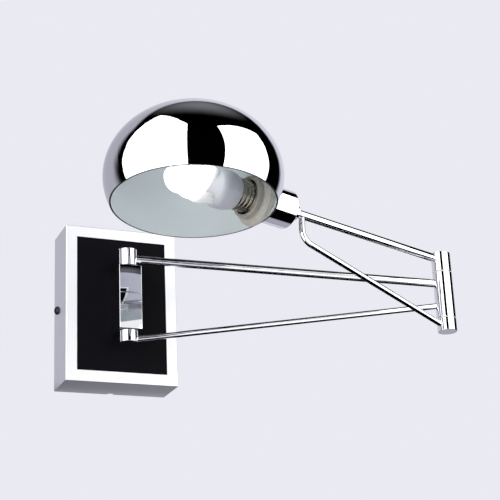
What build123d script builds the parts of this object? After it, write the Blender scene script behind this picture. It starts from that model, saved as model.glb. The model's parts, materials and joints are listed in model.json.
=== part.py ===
import os
from math import asin, cos, degrees, pi, radians, sin

from build123d import *

os.makedirs("parts", exist_ok=True)

# Wall box: a pressed cover over a steel strap, with a black panel let into its front
plate_width = 100.0
plate_height = 140.0
plate_depth = 38.5
cover_wall = 1.5
cover_front = 2.2
cover_edge_round = 0.6
pry_notch_radius = 3.0
panel_margin = 10.0
panel_thick = 1.2
panel_gap = 0.15
backing_width = 56.0
backing_height = 96.0
backing_thick = 1.5

# Strap that is screwed to the wall, with ears for the two side screws
strap_height = 32.0
strap_thick = 2.0
strap_gap = 0.3
ear_depth = 17.0
ear_height = 22.0
slot_spacing = 60.0
slot_length = 12.0
slot_width = 4.5
cable_entry_radius = 7.0
side_screw_setback = 10.0
side_screw_radius = 2.0
side_screw_head_radius = 3.8
side_screw_head_height = 2.8
side_screw_grip = 2.0

# Terminals and leads inside the box
terminal_width = 13.0
terminal_height = 28.0
terminal_depth = 14.0
terminal_offset = 15.0
pole_spacing = 9.0
pole_screw_offset = 3.5
pole_screw_radius = 1.5
pole_screw_depth = 3.0
small_screw_radius = 1.5
small_screw_head_radius = 2.8
small_screw_head_height = 1.8
earth_screw_height = 9.0
lead_radius = 1.1
lead_bend = 4.0
lead_rise = 7.0

# Pivot block on the panel
block_width = 20.0
block_height = 57.0
block_front_cover = 8.5
block_edge_round = 0.5
bolt_radius = 2.5
bolt_head_radius = 4.25
bolt_head_height = 4.0
bolt_washer_radius = 4.6
bolt_washer_thick = 1.2
bolt_spread = 34.0
bolt_grip = 11.5
bush_bore_radius = 3.25
bush_wall = 1.25
bush_flange_width = 2.0
bush_flange_thick = 1.5

# Friction pivots: flanged studs that turn in barrels of one diameter
pivot_reach = 56.0
barrel_radius = 8.5
barrel_floor = 2.6
barrel_edge_round = 0.5
cavity_radius = 6.0
cap_thick = 1.2
stud_radius = 4.0
stud_bore_radius = 2.5
stud_grip = 13.0
flange_radius = 5.6
flange_thick = 1.6
drive_slot_width = 1.4
drive_slot_depth = 0.8
washer_thick = 0.6
top_barrel_height = 15.1
bottom_barrel_height = 10.2
hole_clearance = 0.05
running_fit = 0.05
socket_fit = 0.02
seat_inset = 0.3

# First arm: a wired tube above and a solid rod below, drawn together at the elbow
first_arm_length = 276.0
first_arm_angle = -17.13
wall_spread = 73.0
elbow_spread = 19.5
tube_radius = 3.5
tube_bore_radius = 2.5
rod_radius = 2.5
lead_sheath_radius = 2.2
sleeve_top = 19.5
sleeve_bottom = -22.0
elbow_stud_grip = 5.0
elbow_pin_grip = 8.0

# Second arm: a wired tube that rises a little to the lamp, and a brace below it
second_arm_angle = -163.42
second_tube_height = 32.0
second_tube_rise = 3.0
elbow_top_height = 17.7
elbow_bottom_height = 11.5
brace_root_height = -30.5
brace_neck_gap = 16.2
brace_corner_drop = 21.6
brace_bend = 12.0

# Swivel between the second tube and the lamp head
neck_end = 177.8
bush_length = 9.5
bush_radius = 6.0
tube_seat = 8.0
nut_radius = 6.6
nut_thick = 3.0
spigot_tail = 1.0
grub_radius = 1.5
grub_setback = 4.0
head_turn = 2.15

# Lamp head: neck cup, flattened dome shade, lampholder
neck_radius = 16.0
neck_wall = 1.5
neck_floor = 2.6
neck_edge_round = 0.8
shade_radius = 70.0
shade_crown = 57.5
shade_skirt = 22.0
shade_wall = 1.2
shade_reach = 93.4
shade_lift = 2.0
shade_hole_radius = 14.2
belt_depth = 40.0
holder_back = 10.0
holder_body_radius = 13.3
holder_barrel_radius = 17.2
holder_mouth_reach = 42.2
holder_bore_radius = 14.6
holder_floor_reach = 29.8
holder_lip_round = 1.0
shade_seat_gap = 0.1
ring_radius = 21.5
ring_nose_radius = 19.4
ring_reach = 37.2
ring_bevel = 3.5
foot_radius = 3.0
foot_circle = 10.2
shell_wall = 0.4
shell_length = 11.0
contact_width = 6.0
contact_thick = 0.6
contact_reach = 7.0

# Compact fluorescent lamp with a screw base
thread_radius = 13.1
thread_depth = 0.8
thread_pitch = 3.6
thread_turns = 5
base_reach = 34.6
base_nose_radius = 8.0
base_nose_length = 2.2
base_tip_radius = 3.2
base_tip_length = 1.6
base_skin = 0.6
ballast_radius = 11.5
ballast_lift = 3.0
ballast_thick = 1.6
housing_reach = 55.4
housing_neck_radius = 13.9
housing_radius = 16.3
housing_flare = 12.5
housing_swell = 0.7
housing_length = 18.6
housing_round = 4.0
vent_radius = 0.5
vent_reach = 4.3
vent_angles = (97.5, 110.0)
glass_radius = 4.5
glass_socket_depth = 2.5
glass_root_circle = 9.8
glass_wide_circle = 12.4
glass_tip_circle = 9.2
glass_stub = 0.5
glass_knee_rise = 11.8
glass_knee_turn = 28.0
glass_pitch = 21.2
glass_quarter_turns = 5
glass_bridge_rise = 6.2
glass_bridge_swing = 76.0
glass_start_angle = 202.0

# Stations along the second tube, all set by where the neck ends
brace_meeting = neck_end - brace_neck_gap
shade_distance = neck_end + shade_reach
holder_mouth = neck_end + holder_mouth_reach
holder_bore_floor = neck_end + holder_floor_reach
ring_front = neck_end + ring_reach
base_start = neck_end + base_reach
housing_start = neck_end + housing_reach


def aimed(start, end):
    return Plane(origin=start, z_dir=end - start)


# Frames: the wall, each arm in plan, the tube, and the lamp head turned about it
wall = Plane.XZ
cover_face = wall.offset(plate_depth)
cover_inside = wall.offset(plate_depth - cover_front)
backing_inside = wall.offset(plate_depth - cover_front - backing_thick)

first_bearing = radians(first_arm_angle)
first_frame = Plane(
    origin=(0, -pivot_reach, 0), x_dir=(cos(first_bearing), sin(first_bearing), 0), z_dir=(0, 0, 1)
)
elbow_point = first_frame.from_local_coords(Vector(first_arm_length, 0, 0))

second_bearing = radians(second_arm_angle)
second_frame = Plane(
    origin=elbow_point, x_dir=(cos(second_bearing), sin(second_bearing), 0), z_dir=(0, 0, 1)
)
tube_root = second_frame.from_local_coords(Vector(0, 0, second_tube_height))
rise = radians(second_tube_rise)
tube_heading = second_frame.from_local_coords(
    Vector(cos(rise), 0, second_tube_height + sin(rise))
) - tube_root
tube_up = second_frame.from_local_coords(
    Vector(-sin(rise), 0, second_tube_height + cos(rise))
) - tube_root
tube_frame = Plane(origin=tube_root, x_dir=tube_heading, z_dir=tube_up)
head_frame = Plane(
    origin=tube_root,
    x_dir=tube_heading,
    z_dir=tube_up.rotate(Axis((0, 0, 0), tube_heading), head_turn),
)


def head_point(along, side=0.0, up=0.0):
    return head_frame.from_local_coords(Vector(along, side, up))


def head_station(along):
    return Plane(origin=head_point(along), x_dir=head_frame.y_dir, z_dir=head_frame.x_dir)


# Half sections of the lamp head are drawn with x along the neck and y up
head_section = Plane(origin=tube_root, x_dir=head_frame.x_dir, z_dir=-head_frame.y_dir)
head_axis = Axis(tube_root, head_frame.x_dir)
shade_centre = head_point(shade_distance, 0, shade_lift)
shade_section = Plane(origin=shade_centre, x_dir=head_frame.x_dir, z_dir=-head_frame.y_dir)
shade_axis = Axis(shade_centre, head_frame.z_dir)


def flanged_stud(seat, grip, bore):
    # The seat is under the flange, and its z points away from the shank
    with BuildPart() as stud:
        with BuildSketch(seat):
            Circle(flange_radius)
        extrude(amount=flange_thick)
        with BuildSketch(seat):
            Circle(stud_radius)
        extrude(amount=-grip)
        if bore:
            with BuildSketch(seat.offset(flange_thick)):
                Circle(bore)
            extrude(amount=-(flange_thick + grip), mode=Mode.SUBTRACT)
        else:
            with BuildSketch(seat.offset(flange_thick)):
                Rectangle(2 * flange_radius, drive_slot_width)
            extrude(amount=-drive_slot_depth, mode=Mode.SUBTRACT)
    return stud.part


def pivot_barrel(seat, height, member, member_radius):
    # The seat meets the washer, and its z points into the barrel
    with BuildPart() as barrel:
        with BuildSketch(seat):
            Circle(barrel_radius)
        extrude(amount=height)
        fillet(barrel.edges().filter_by(GeomType.CIRCLE), barrel_edge_round)
        with BuildSketch(seat.offset(barrel_floor)):
            Circle(cavity_radius)
        extrude(amount=height - barrel_floor, mode=Mode.SUBTRACT)
        with BuildSketch(seat):
            Circle(stud_radius + running_fit)
        extrude(amount=barrel_floor, mode=Mode.SUBTRACT)
        with BuildSketch(member):
            Circle(member_radius + socket_fit)
        extrude(amount=2 * barrel_radius, mode=Mode.SUBTRACT)
    return barrel.part


def barrel_cap(seat, height):
    with BuildPart() as cap:
        with BuildSketch(seat.offset(height - cap_thick)):
            Circle(cavity_radius - socket_fit)
        extrude(amount=cap_thick)
    return cap.part


def nylon_washer(seat):
    with BuildPart() as washer:
        with BuildSketch(seat):
            Circle(barrel_radius - barrel_edge_round)
            Circle(stud_radius + running_fit, mode=Mode.SUBTRACT)
        extrude(amount=washer_thick)
    return washer.part


def straight_member(axis_plane, start, end, radius, bore=0.0):
    with BuildPart() as member:
        with BuildSketch(axis_plane.offset(start)):
            Circle(radius)
            if bore:
                Circle(bore, mode=Mode.SUBTRACT)
        extrude(amount=end - start)
    return member.part


def dome_belt(growth):
    # Half a thick belt under the dome's surface on the neck's side, for trimming what meets it
    belt_angle = degrees(asin((neck_radius + ring_radius) / shade_crown))
    with BuildPart() as belt:
        with BuildSketch(Plane(origin=shade_centre, x_dir=head_frame.y_dir, z_dir=head_frame.x_dir)):
            with BuildLine():
                surface = EllipticalCenterArc(
                    (0, 0),
                    shade_radius + growth,
                    shade_crown + growth,
                    -belt_angle,
                    arc_size=2 * belt_angle,
                )
                Polyline(
                    surface @ 0,
                    (shade_radius - belt_depth, (surface @ 0).Y),
                    (shade_radius - belt_depth, (surface @ 1).Y),
                    surface @ 1,
                )
            make_face()
        revolve(axis=shade_axis, revolution_arc=180)
    return belt.part


# Wall strap
strap_width = plate_width - 2 * (cover_wall + strap_gap)
terminal_spots = [(-terminal_offset, 0)]
earth_spots = [(terminal_offset, earth_screw_height)]
slot_spots = [(slot_spacing / 2, 0), (-slot_spacing / 2, 0)]
with BuildPart() as wall_strap:
    with BuildSketch(wall):
        Rectangle(strap_width, strap_height)
        Circle(cable_entry_radius, mode=Mode.SUBTRACT)
        with Locations(slot_spots):
            SlotOverall(slot_length, slot_width, mode=Mode.SUBTRACT)
        with Locations(terminal_spots + earth_spots):
            Circle(small_screw_radius + socket_fit, mode=Mode.SUBTRACT)
    extrude(amount=strap_thick)
    for side in (1, -1):
        with Locations((side * (strap_width - strap_thick) / 2, -ear_depth / 2, 0)):
            Box(strap_thick, ear_depth, ear_height)
    with Locations((0, -side_screw_setback, 0)):
        Cylinder(side_screw_radius + socket_fit, plate_width, rotation=(0, 90, 0), mode=Mode.SUBTRACT)
wall_strap.part.label = "wall_strap"

# Cover: an open-backed box with a shallow pocket for the panel
panel_width = plate_width - 2 * panel_margin
panel_height = plate_height - 2 * panel_margin
bolt_spots = [(0, bolt_spread / 2), (0, -bolt_spread / 2)]
bush_radius_outer = bush_bore_radius + bush_wall
with BuildPart() as cover:
    with BuildSketch(wall):
        Rectangle(plate_width, plate_height)
    extrude(amount=plate_depth)
    front_edges = cover.faces().sort_by(Axis.Y)[0].edges()
    fillet(cover.edges().filter_by(Axis.Y) + front_edges, cover_edge_round)
    with BuildSketch(wall):
        Rectangle(plate_width - 2 * cover_wall, plate_height - 2 * cover_wall)
    extrude(amount=plate_depth - cover_front, mode=Mode.SUBTRACT)
    with BuildSketch(cover_face):
        Rectangle(panel_width + 2 * panel_gap, panel_height + 2 * panel_gap)
    extrude(amount=-panel_thick, mode=Mode.SUBTRACT)
    with BuildSketch(cover_face):
        with Locations(bolt_spots):
            Circle(bolt_radius + hole_clearance)
        Circle(bush_radius_outer + hole_clearance)
    extrude(amount=-cover_front, mode=Mode.SUBTRACT)
    with Locations((0, -side_screw_setback, 0)):
        Cylinder(
            side_screw_radius + hole_clearance, plate_width, rotation=(0, 90, 0), mode=Mode.SUBTRACT
        )
    with Locations((0, 0, -plate_height / 2)):
        Cylinder(pry_notch_radius, 4 * cover_wall, mode=Mode.SUBTRACT)
cover.part.label = "cover"

# Inset panel
with BuildPart() as inset_panel:
    with BuildSketch(cover_face.offset(-panel_thick)):
        Rectangle(panel_width, panel_height)
        with Locations(bolt_spots):
            Circle(bolt_radius + hole_clearance, mode=Mode.SUBTRACT)
        Circle(bush_radius_outer + hole_clearance, mode=Mode.SUBTRACT)
    extrude(amount=panel_thick)
inset_panel.part.label = "inset_panel"

# Backing plate that stiffens the cover behind the block
with BuildPart() as backing_plate:
    with BuildSketch(backing_inside):
        RectangleRounded(backing_width, backing_height, 2 * bolt_radius)
        with Locations(bolt_spots):
            Circle(bolt_radius + hole_clearance, mode=Mode.SUBTRACT)
        Circle(bush_radius_outer + hole_clearance, mode=Mode.SUBTRACT)
    extrude(amount=backing_thick)
backing_plate.part.label = "backing_plate"

# Side screws with domed heads, threaded into the strap's ears
side_screw_length = cover_wall + strap_gap + strap_thick + side_screw_grip
with BuildPart() as cover_screws:
    for side in (1, -1):
        screw_section = Plane(
            origin=(side * plate_width / 2, -side_screw_setback, 0), x_dir=(side, 0, 0), z_dir=(0, -1, 0)
        )
        with BuildSketch(screw_section):
            with BuildLine():
                Polyline(
                    (0, side_screw_head_radius),
                    (0, side_screw_radius),
                    (-side_screw_length, side_screw_radius),
                    (-side_screw_length, 0),
                    (side_screw_head_height, 0),
                )
                EllipticalCenterArc((0, 0), side_screw_head_height, side_screw_head_radius, 0)
            make_face()
        revolve(axis=Axis(screw_section.origin, screw_section.x_dir))
cover_screws.part.label = "cover_screws"

# Pivot block with its two tapped ends and the passage for the leads
block_back = plate_depth
block_depth = pivot_reach + block_front_cover - plate_depth
block_top = block_height / 2
stud_reach = barrel_floor + washer_thick + 2 * running_fit
with BuildPart() as pivot_block:
    with BuildSketch(wall.offset(block_back)):
        Rectangle(block_width, block_height)
    extrude(amount=block_depth)
    fillet(pivot_block.edges(), block_edge_round)
    with BuildSketch(wall.offset(block_back)):
        with Locations(bolt_spots):
            Circle(bolt_radius + socket_fit)
    extrude(amount=bolt_grip + bolt_radius / 2, mode=Mode.SUBTRACT)
    with BuildSketch(wall.offset(block_back)):
        Circle(bush_bore_radius)
    extrude(amount=pivot_reach - block_back, mode=Mode.SUBTRACT)
    with BuildSketch(first_frame.offset(block_top)):
        Circle(stud_bore_radius)
    extrude(amount=-block_top, mode=Mode.SUBTRACT)
    for end in (block_top, -block_top):
        with BuildSketch(first_frame.offset(end)):
            Circle(stud_radius + socket_fit)
        extrude(amount=-end / block_top * stud_grip, mode=Mode.SUBTRACT)
pivot_block.part.label = "pivot_block"

# Bolts and washers that pull the block onto the cover from inside
with BuildPart() as bolt_washers:
    with BuildSketch(backing_inside):
        with Locations(bolt_spots):
            Circle(bolt_washer_radius)
            Circle(bolt_radius + hole_clearance, mode=Mode.SUBTRACT)
    extrude(amount=-bolt_washer_thick)
bolt_washers.part.label = "bolt_washers"

bolt_seat = backing_inside.offset(-bolt_washer_thick)
with BuildPart() as block_bolts:
    with BuildSketch(bolt_seat):
        with Locations(bolt_spots):
            RegularPolygon(bolt_head_radius, 6)
    extrude(amount=-bolt_head_height)
    with BuildSketch(bolt_seat):
        with Locations(bolt_spots):
            Circle(bolt_radius)
    extrude(amount=bolt_washer_thick + backing_thick + cover_front + bolt_grip)
block_bolts.part.label = "block_bolts"

# Bush that guards the leads where they pass into the block
with BuildPart() as cable_bush:
    with BuildSketch(backing_inside):
        Circle(bush_radius_outer)
    extrude(amount=backing_thick + cover_front)
    with BuildSketch(backing_inside):
        Circle(bush_radius_outer + bush_flange_width)
    extrude(amount=-bush_flange_thick)
    with BuildSketch(backing_inside.offset(-bush_flange_thick)):
        Circle(bush_bore_radius)
    extrude(amount=bush_flange_thick + backing_thick + cover_front, mode=Mode.SUBTRACT)
cable_bush.part.label = "cable_bush"

# Terminal block on the strap, with its pole screws and fixing screw
strap_front = wall.offset(strap_thick)
terminal_front = strap_front.offset(terminal_depth)
pole_heights = [-pole_spacing, 0, pole_spacing]
pole_spots = [
    (-terminal_offset + across, height)
    for height in pole_heights
    for across in (pole_screw_offset, -pole_screw_offset)
]
with BuildPart() as terminal_block:
    with BuildSketch(strap_front):
        with Locations(terminal_spots):
            Rectangle(terminal_width, terminal_height)
    extrude(amount=terminal_depth)
    with BuildSketch(terminal_front):
        with Locations(pole_spots):
            Circle(pole_screw_radius + socket_fit)
    extrude(amount=-pole_screw_depth, mode=Mode.SUBTRACT)
    with BuildSketch(strap_front):
        with Locations(terminal_spots):
            Circle(small_screw_radius + hole_clearance)
    extrude(amount=terminal_depth, mode=Mode.SUBTRACT)
terminal_block.part.label = "terminal_block"

with BuildPart() as terminal_screws:
    with BuildSketch(terminal_front):
        with Locations(pole_spots):
            Circle(pole_screw_radius)
    extrude(amount=-pole_screw_depth)
terminal_screws.part.label = "terminal_screws"


def pan_screw(seat, spots, grip):
    with BuildPart() as screw:
        with BuildSketch(seat):
            with Locations(spots):
                Circle(small_screw_head_radius)
        extrude(amount=small_screw_head_height)
        with BuildSketch(seat):
            with Locations(spots):
                Circle(small_screw_radius)
        extrude(amount=-grip)
    return screw.part


terminal_fixing = pan_screw(terminal_front, terminal_spots, terminal_depth + strap_thick)
terminal_fixing.label = "terminal_fixing"
earth_screw = pan_screw(strap_front, earth_spots, strap_thick)
earth_screw.label = "earth_screw"

# Leads from the outer poles through the bush to the block
lead_exit_x = -terminal_offset + terminal_width / 2
lead_turn_y = -strap_thick - lead_rise
lead_end_y = -plate_depth + cover_front / 2
lead_straight = 2 * lead_bend
lead_gap = 1.5
with BuildPart() as supply_leads:
    for side in (1, -1):
        with BuildLine() as lead_route:
            FilletPolyline(
                (lead_exit_x, lead_turn_y, side * pole_spacing),
                (0, lead_turn_y, side * pole_spacing),
                (0, lead_end_y + lead_straight, side * lead_gap),
                (0, lead_end_y, side * lead_gap),
                radius=lead_bend,
            )
        with BuildSketch(Plane(origin=lead_route.line @ 0, z_dir=lead_route.line % 0)):
            Circle(lead_radius)
        sweep(path=lead_route.line)
supply_leads.part.label = "supply_leads"

# Wall pivots: a hollow stud above for the lead, a plain one below
wall_top_seat = first_frame.offset(block_top + washer_thick + running_fit)
wall_bottom_seat = Plane(
    origin=(0, -pivot_reach, -block_top - washer_thick - running_fit),
    x_dir=first_frame.x_dir,
    z_dir=(0, 0, -1),
)
flange_lift = barrel_floor + running_fit
top_pivot = flanged_stud(
    wall_top_seat.offset(flange_lift), stud_reach - running_fit + stud_grip, stud_bore_radius
)
top_pivot.label = "top_pivot"
bottom_pivot = flanged_stud(
    wall_bottom_seat.offset(flange_lift), stud_reach - running_fit + stud_grip, 0.0
)
bottom_pivot.label = "bottom_pivot"

wall_washers = [
    nylon_washer(wall_top_seat.offset(-washer_thick - running_fit)),
    nylon_washer(wall_bottom_seat.offset(-washer_thick - running_fit)),
]
with BuildPart() as pivot_washers:
    add(wall_washers)
pivot_washers.part.label = "pivot_washers"

# First arm members, each on the line between its two pivot axes
tube_wall_point = first_frame.from_local_coords(Vector(0, 0, wall_spread / 2))
tube_elbow_point = first_frame.from_local_coords(Vector(first_arm_length, 0, elbow_spread / 2))
rod_wall_point = first_frame.from_local_coords(Vector(0, 0, -wall_spread / 2))
rod_elbow_point = first_frame.from_local_coords(Vector(first_arm_length, 0, -elbow_spread / 2))
first_tube_line = aimed(tube_wall_point, tube_elbow_point)
first_rod_line = aimed(rod_wall_point, rod_elbow_point)
member_length = (tube_elbow_point - tube_wall_point).length
member_start = cavity_radius + seat_inset
member_end = member_length - stud_radius - 2 * seat_inset

top_barrel = pivot_barrel(wall_top_seat, top_barrel_height, first_tube_line, tube_radius)
top_barrel.label = "top_barrel"
top_barrel_cap = barrel_cap(wall_top_seat, top_barrel_height)
top_barrel_cap.label = "top_barrel_cap"
bottom_barrel = pivot_barrel(wall_bottom_seat, bottom_barrel_height, first_rod_line, rod_radius)
bottom_barrel.label = "bottom_barrel"
bottom_barrel_cap = barrel_cap(wall_bottom_seat, bottom_barrel_height)
bottom_barrel_cap.label = "bottom_barrel_cap"

first_tube = straight_member(first_tube_line, member_start, member_end, tube_radius, tube_bore_radius)
first_tube.label = "first_tube"
first_rod = straight_member(first_rod_line, member_start, member_end, rod_radius)
first_rod.label = "first_rod"
first_lead = straight_member(first_tube_line, member_start, member_end, lead_sheath_radius)
first_lead.label = "first_lead"

# Elbow sleeve that ends the first arm, tapped for a stud at each end
elbow_frame = first_frame.offset(0)
elbow_frame.origin = elbow_point
with BuildPart() as elbow_sleeve:
    with BuildSketch(elbow_frame.offset(sleeve_bottom)):
        Circle(barrel_radius)
    extrude(amount=sleeve_top - sleeve_bottom)
    fillet(elbow_sleeve.edges().filter_by(GeomType.CIRCLE), barrel_edge_round)
    with BuildSketch(elbow_frame.offset(sleeve_bottom)):
        Circle(stud_radius + socket_fit)
    extrude(amount=sleeve_top - sleeve_bottom, mode=Mode.SUBTRACT)
    for line, radius in ((first_tube_line, tube_radius), (first_rod_line, rod_radius)):
        with BuildSketch(line.offset(member_length)):
            Circle(radius + socket_fit)
        extrude(amount=-2 * barrel_radius, mode=Mode.SUBTRACT)
elbow_sleeve.part.label = "elbow_sleeve"

elbow_top_seat = elbow_frame.offset(sleeve_top + washer_thick + running_fit)
elbow_bottom_seat = Plane(
    origin=elbow_point + Vector(0, 0, sleeve_bottom - washer_thick - running_fit),
    x_dir=first_frame.x_dir,
    z_dir=(0, 0, -1),
)
elbow_top_pivot = flanged_stud(
    elbow_top_seat.offset(flange_lift), stud_reach - running_fit + elbow_stud_grip, stud_bore_radius
)
elbow_top_pivot.label = "elbow_top_pivot"
elbow_bottom_pivot = flanged_stud(
    elbow_bottom_seat.offset(flange_lift), stud_reach - running_fit + elbow_pin_grip, 0.0
)
elbow_bottom_pivot.label = "elbow_bottom_pivot"

elbow_washer_pair = [
    nylon_washer(elbow_top_seat.offset(-washer_thick - running_fit)),
    nylon_washer(elbow_bottom_seat.offset(-washer_thick - running_fit)),
]
with BuildPart() as elbow_washers:
    add(elbow_washer_pair)
elbow_washers.part.label = "elbow_washers"

# Second arm: bosses above and below the sleeve, the tube, and the brace under it
second_tube_line = Plane(origin=tube_root, x_dir=tube_frame.y_dir, z_dir=tube_heading)
brace_root = second_frame.from_local_coords(Vector(0, 0, brace_root_height))
brace_corner = tube_frame.from_local_coords(Vector(brace_meeting, 0, -brace_corner_drop))
brace_end = tube_frame.from_local_coords(Vector(brace_meeting, 0, 0))
brace_line = aimed(brace_root, brace_corner)
brace_slope = asin(brace_line.z_dir.Z)
brace_setback = (cavity_radius + seat_inset + rod_radius * sin(brace_slope)) / cos(brace_slope)
brace_start = brace_line.from_local_coords(Vector(0, 0, brace_setback))

elbow_top_boss = pivot_barrel(elbow_top_seat, elbow_top_height, second_tube_line, tube_radius)
elbow_top_boss.label = "elbow_top_boss"
elbow_top_cap = barrel_cap(elbow_top_seat, elbow_top_height)
elbow_top_cap.label = "elbow_top_cap"
elbow_bottom_boss = pivot_barrel(elbow_bottom_seat, elbow_bottom_height, brace_line, rod_radius)
elbow_bottom_boss.label = "elbow_bottom_boss"
elbow_bottom_cap = barrel_cap(elbow_bottom_seat, elbow_bottom_height)
elbow_bottom_cap.label = "elbow_bottom_cap"

bush_shoulder = neck_end - washer_thick - running_fit
bush_start = bush_shoulder - bush_length
tube_end = bush_start + tube_seat
second_tube = straight_member(second_tube_line, member_start, tube_end, tube_radius, tube_bore_radius)
second_tube.label = "second_tube"
second_lead = straight_member(second_tube_line, member_start, tube_end, lead_sheath_radius)
second_lead.label = "second_lead"

with BuildPart() as brace_rod:
    with BuildLine() as brace_route:
        FilletPolyline(brace_start, brace_corner, brace_end, radius=brace_bend)
    with BuildSketch(Plane(origin=brace_start, z_dir=brace_line.z_dir)):
        Circle(rod_radius)
    sweep(path=brace_route.line)
    with BuildSketch(second_tube_line):
        Circle(tube_radius + socket_fit)
    extrude(amount=brace_meeting + brace_bend, mode=Mode.SUBTRACT)
brace_rod.part.label = "brace_rod"

# Swivel bush on the end of the tube, and the nut that holds the neck to it
nut_start = neck_end + neck_floor + running_fit
spigot_end = nut_start + nut_thick + spigot_tail
grub_station = bush_start + grub_setback
grub_plane = Plane(
    origin=tube_frame.from_local_coords(Vector(grub_station, 0, 0)), z_dir=-tube_frame.z_dir
)
with BuildPart() as swivel_bush:
    with BuildSketch(second_tube_line.offset(bush_start)):
        Circle(bush_radius)
    extrude(amount=bush_length)
    fillet(swivel_bush.edges().filter_by(GeomType.CIRCLE), barrel_edge_round)
    with BuildSketch(second_tube_line.offset(bush_shoulder)):
        Circle(stud_radius)
    extrude(amount=spigot_end - bush_shoulder)
    with BuildSketch(second_tube_line.offset(bush_start)):
        Circle(tube_radius + socket_fit)
    extrude(amount=tube_seat, mode=Mode.SUBTRACT)
    with BuildSketch(second_tube_line.offset(bush_start)):
        Circle(stud_bore_radius)
    extrude(amount=spigot_end - bush_start, mode=Mode.SUBTRACT)
    with BuildSketch(grub_plane):
        Circle(grub_radius + socket_fit)
    extrude(amount=bush_radius, mode=Mode.SUBTRACT)
swivel_bush.part.label = "swivel_bush"

with BuildPart() as swivel_grub:
    with BuildSketch(grub_plane.offset(tube_radius + 2 * socket_fit)):
        Circle(grub_radius)
    extrude(amount=bush_radius - tube_radius - 2 * seat_inset)
swivel_grub.part.label = "swivel_grub"

with BuildPart() as swivel_washer:
    with BuildSketch(second_tube_line.offset(bush_shoulder)):
        Circle(bush_radius - barrel_edge_round)
        Circle(stud_radius + running_fit, mode=Mode.SUBTRACT)
    extrude(amount=washer_thick)
swivel_washer.part.label = "swivel_washer"

with BuildPart() as swivel_nut:
    with BuildSketch(second_tube_line.offset(nut_start)):
        RegularPolygon(nut_radius, 6)
        Circle(stud_radius + socket_fit, mode=Mode.SUBTRACT)
    extrude(amount=nut_thick)
swivel_nut.part.label = "swivel_nut"

# Neck cup, trimmed to the dome it stands on
foot_spots = [(foot_circle, 0), (-foot_circle, 0)]
trim_station = shade_distance - shade_radius + belt_depth / 2
dome_outside = dome_belt(0.0)
dome_inside = dome_belt(-shade_wall - shade_seat_gap)
with BuildPart() as neck_cup:
    with BuildSketch(head_station(neck_end)):
        Circle(neck_radius)
    extrude(amount=trim_station - neck_end)
    fillet(neck_cup.edges().filter_by(GeomType.CIRCLE), neck_edge_round)
    with BuildSketch(head_station(neck_end + neck_floor)):
        Circle(neck_radius - neck_wall)
    extrude(amount=shade_distance - neck_end, mode=Mode.SUBTRACT)
    with BuildSketch(head_station(neck_end)):
        Circle(stud_radius + running_fit)
        with Locations(foot_spots):
            Circle(small_screw_radius + hole_clearance)
    extrude(amount=neck_floor, mode=Mode.SUBTRACT)
    add(dome_outside, mode=Mode.SUBTRACT)
neck_cup.part.label = "neck_cup"

# Shade: a flattened dome, cut off below its widest line and holed for the lampholder
inner_radius = shade_radius - shade_wall
inner_crown = shade_crown - shade_wall
outer_rim_angle = degrees(asin(-shade_skirt / shade_crown))
inner_rim_angle = degrees(asin(-shade_skirt / inner_crown))
with BuildPart() as shade:
    with BuildSketch(shade_section):
        with BuildLine():
            outer = EllipticalCenterArc(
                (0, 0), shade_radius, shade_crown, outer_rim_angle, arc_size=90 - outer_rim_angle
            )
            inner = EllipticalCenterArc(
                (0, 0), inner_radius, inner_crown, inner_rim_angle, arc_size=90 - inner_rim_angle
            )
            Line(outer @ 0, inner @ 0)
            Line(outer @ 1, inner @ 1)
        make_face()
    revolve(axis=shade_axis)
    with BuildSketch(head_station(neck_end)):
        Circle(shade_hole_radius)
    extrude(amount=shade_distance - neck_end, mode=Mode.SUBTRACT)
shade.part.label = "shade"

# Lampholder: a barrel against the dome's inside, its body and two feet in the neck
holder_start = neck_end + neck_floor + holder_back
with BuildPart() as lampholder:
    with BuildSketch(head_station(holder_start)):
        Circle(holder_barrel_radius)
    extrude(amount=holder_mouth - holder_start)
    mouth_edge = lampholder.edges().filter_by(GeomType.CIRCLE).sort_by(head_axis)[-1]
    fillet(mouth_edge, holder_lip_round)
    add(dome_inside, mode=Mode.INTERSECT)
    with BuildSketch(head_station(holder_start)):
        Circle(holder_body_radius)
    extrude(amount=holder_bore_floor - holder_start)
    with BuildSketch(head_station(neck_end + neck_floor)):
        with Locations(foot_spots):
            Circle(foot_radius)
    extrude(amount=holder_back)
    with BuildSketch(head_station(neck_end + neck_floor)):
        with Locations(foot_spots):
            Circle(small_screw_radius + socket_fit)
    extrude(amount=holder_back, mode=Mode.SUBTRACT)
    with BuildSketch(head_station(holder_bore_floor)):
        Circle(holder_bore_radius)
    extrude(amount=holder_mouth - holder_bore_floor, mode=Mode.SUBTRACT)
lampholder.part.label = "lampholder"

# Ring screwed along the barrel to clamp the dome
with BuildPart() as shade_ring:
    with BuildSketch(head_station(holder_start)):
        Circle(ring_radius)
    extrude(amount=ring_front - ring_bevel - holder_start)
    with BuildSketch(head_station(ring_front - ring_bevel)):
        Circle(ring_radius)
    with BuildSketch(head_station(ring_front)):
        Circle(ring_nose_radius)
    loft()
    with BuildSketch(head_station(holder_start)):
        Circle(holder_barrel_radius + hole_clearance)
    extrude(amount=ring_front - holder_start, mode=Mode.SUBTRACT)
    add(dome_inside, mode=Mode.INTERSECT)
shade_ring.part.label = "shade_ring"

holder_screws = pan_screw(
    Plane(origin=head_point(neck_end), x_dir=head_frame.y_dir, z_dir=-head_frame.x_dir),
    foot_spots,
    neck_floor + holder_back - seat_inset,
)
holder_screws.label = "holder_screws"

# Contacts in the lampholder
with BuildPart() as holder_shell:
    with BuildSketch(head_station(holder_bore_floor)):
        Circle(holder_bore_radius - socket_fit)
        Circle(holder_bore_radius - shell_wall, mode=Mode.SUBTRACT)
    extrude(amount=shell_length)
holder_shell.part.label = "holder_shell"

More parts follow.
